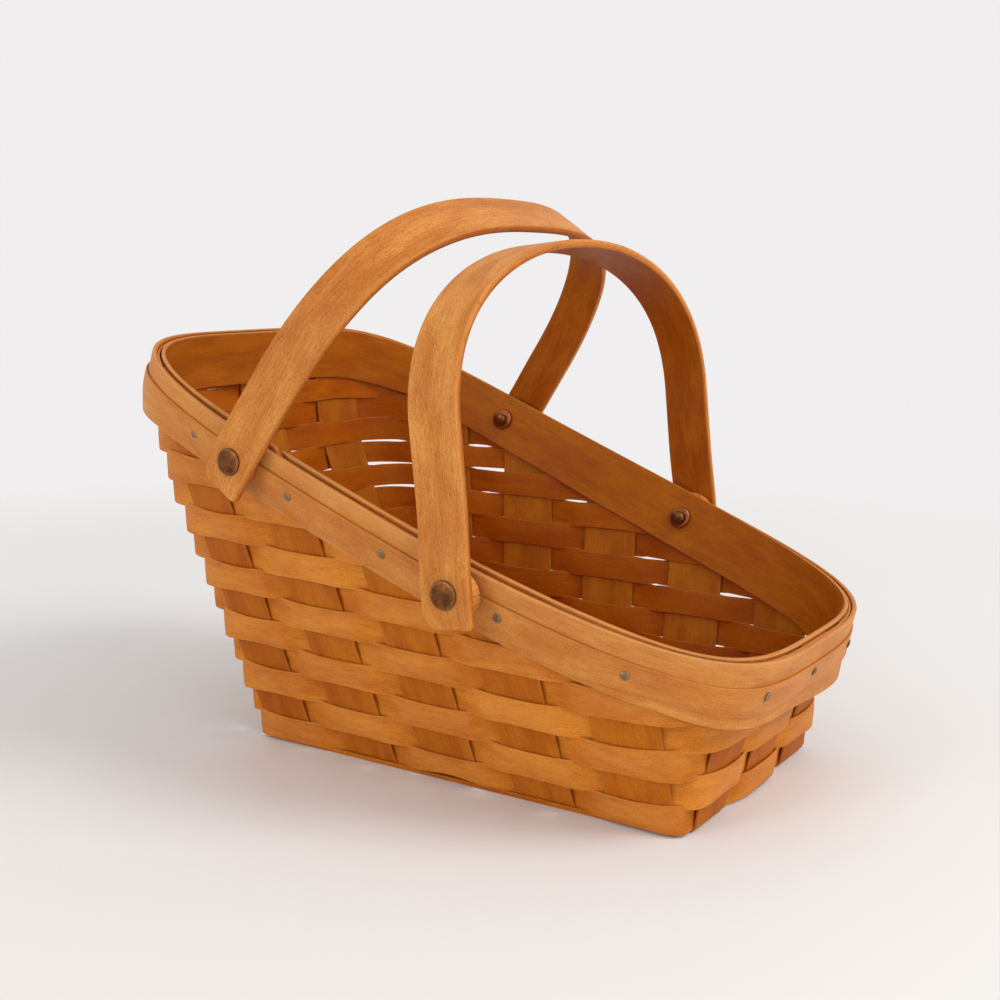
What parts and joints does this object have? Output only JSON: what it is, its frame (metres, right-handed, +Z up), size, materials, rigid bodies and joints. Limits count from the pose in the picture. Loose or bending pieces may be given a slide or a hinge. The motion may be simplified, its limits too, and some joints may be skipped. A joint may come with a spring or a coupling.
{
  "type": "vegetable basket",
  "caption": "Splint-woven wooden produce basket with a rim that slopes from a tall back to a low front, and riveted swing handles.",
  "frame": {"origin": "middle of the underside of the woven base, on the surface that the basket stands on", "axes": "+X towards the low end, +Y across the basket along the handle pivots, +Z up"},
  "size_m": [0.2565, 0.193, 0.2042],
  "materials": {
    "weaver_splint": "satin honey stain, grain along the strip",
    "stake_splint": "satin honey stain, grain up the strip",
    "rim_band": "satin honey stain, pale worn edges",
    "handle_wood": "satin honey stain, dark flecks along the grain",
    "rivet_metal": "dark bronzed, rubbed bright at the edge",
    "burr_metal": "dull copper brown",
    "tack_metal": "dull grey"
  },
  "bodies": {
    "basket": {"cross_stake_1": "stake_splint", "cross_stake_2": "stake_splint", "cross_stake_3": "stake_splint", "cross_stake_4": "stake_splint", "cross_stake_5": "stake_splint", "length_stake_1": "stake_splint", "length_stake_2": "stake_splint", "length_stake_3": "stake_splint", "weaver_01": "weaver_splint", "weaver_02": "weaver_splint", "weaver_03": "weaver_splint", "weaver_04": "weaver_splint", "weaver_05": "weaver_splint", "weaver_06": "weaver_splint", "weaver_07": "weaver_splint", "weaver_08": "weaver_splint", "weaver_09": "weaver_splint", "weaver_10": "weaver_splint", "weaver_11": "weaver_splint", "weaver_12": "weaver_splint", "weaver_13": "weaver_splint", "inner_band": "rim_band", "outer_band": "rim_band", "trim_strip": "rim_band", "rivet_back_near": "rivet_metal", "burr_back_near": "burr_metal", "spacer_back_near": "handle_wood", "rivet_back_far": "rivet_metal", "burr_back_far": "burr_metal", "spacer_back_far": "handle_wood", "rivet_front_near": "rivet_metal", "burr_front_near": "burr_metal", "spacer_front_near": "handle_wood", "rivet_front_far": "rivet_metal", "burr_front_far": "burr_metal", "spacer_front_far": "handle_wood", "tack_near_1": "tack_metal", "tack_near_2": "tack_metal", "tack_near_3": "tack_metal", "tack_near_4": "tack_metal", "tack_near_5": "tack_metal", "tack_far_1": "tack_metal", "tack_far_2": "tack_metal", "tack_far_3": "tack_metal", "tack_far_4": "tack_metal", "tack_far_5": "tack_metal", "tack_low_1": "tack_metal", "tack_low_2": "tack_metal", "tack_low_3": "tack_metal", "tack_tall_1": "tack_metal", "tack_tall_2": "tack_metal", "tack_tall_3": "tack_metal"},
    "back_handle": {"back_handle": "handle_wood"},
    "front_handle": {"front_handle": "handle_wood"}
  },
  "joints": [
    {"name": "back_handle_swing", "type": "hinge", "parent": "basket", "child": "back_handle", "pos_m": [-0.06717, 0, 0.11254], "axis": [0, 1, 0], "range_deg": [-180, 2.5]},
    {"name": "front_handle_swing", "type": "hinge", "parent": "basket", "child": "front_handle", "pos_m": [0.022, 0, 0.07846], "axis": [0, 1, 0], "range_deg": [0, 130]}
  ]
}
